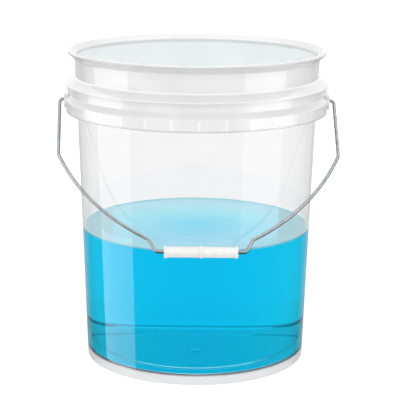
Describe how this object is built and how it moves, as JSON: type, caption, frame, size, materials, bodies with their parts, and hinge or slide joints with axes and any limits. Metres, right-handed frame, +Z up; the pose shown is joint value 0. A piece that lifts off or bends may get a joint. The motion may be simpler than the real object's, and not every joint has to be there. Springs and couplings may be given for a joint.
{
  "type": "wash bucket",
  "caption": "Clear plastic pail with a rolled rim, stop ring, ribbed skirt and two ears, carried by a swinging wire bail with a turning grip.",
  "frame": {"origin": "on the pail's axis, on the ground under its foot", "axes": "+Z up along the pail's axis; +X along the bail's axis, through the two ears; the bail hangs at -Y, which is the front"},
  "size_m": [0.3279, 0.307, 0.368],
  "materials": {
    "clear_plastic": "clear moulded polypropylene, glossy, slightly milky where it is thick",
    "galvanised_wire": "zinc-coated steel wire, dull bright",
    "white_plastic": "white moulded plastic, satin",
    "wash_water": "clear blue wash solution"
  },
  "bodies": {
    "pail": {"pail_body": "clear_plastic", "pail_rim": "clear_plastic", "pail_skirt": "clear_plastic", "skirt_ribs": "clear_plastic"},
    "bail": {"bail_wire": "galvanised_wire"},
    "grip": {"grip": "white_plastic"}
  },
  "joints": [
    {"name": "bail_swing", "type": "hinge", "parent": "pail", "child": "bail", "pos_m": [0, 0, 0.3078], "axis": [-1, 0, 0], "range_deg": [0, 271.72]},
    {"name": "grip_spin", "type": "hinge", "parent": "bail", "child": "grip", "pos_m": [0.006, -0.14311, 0.16032], "axis": [1, 0, 0], "continuous": true}
  ]
}
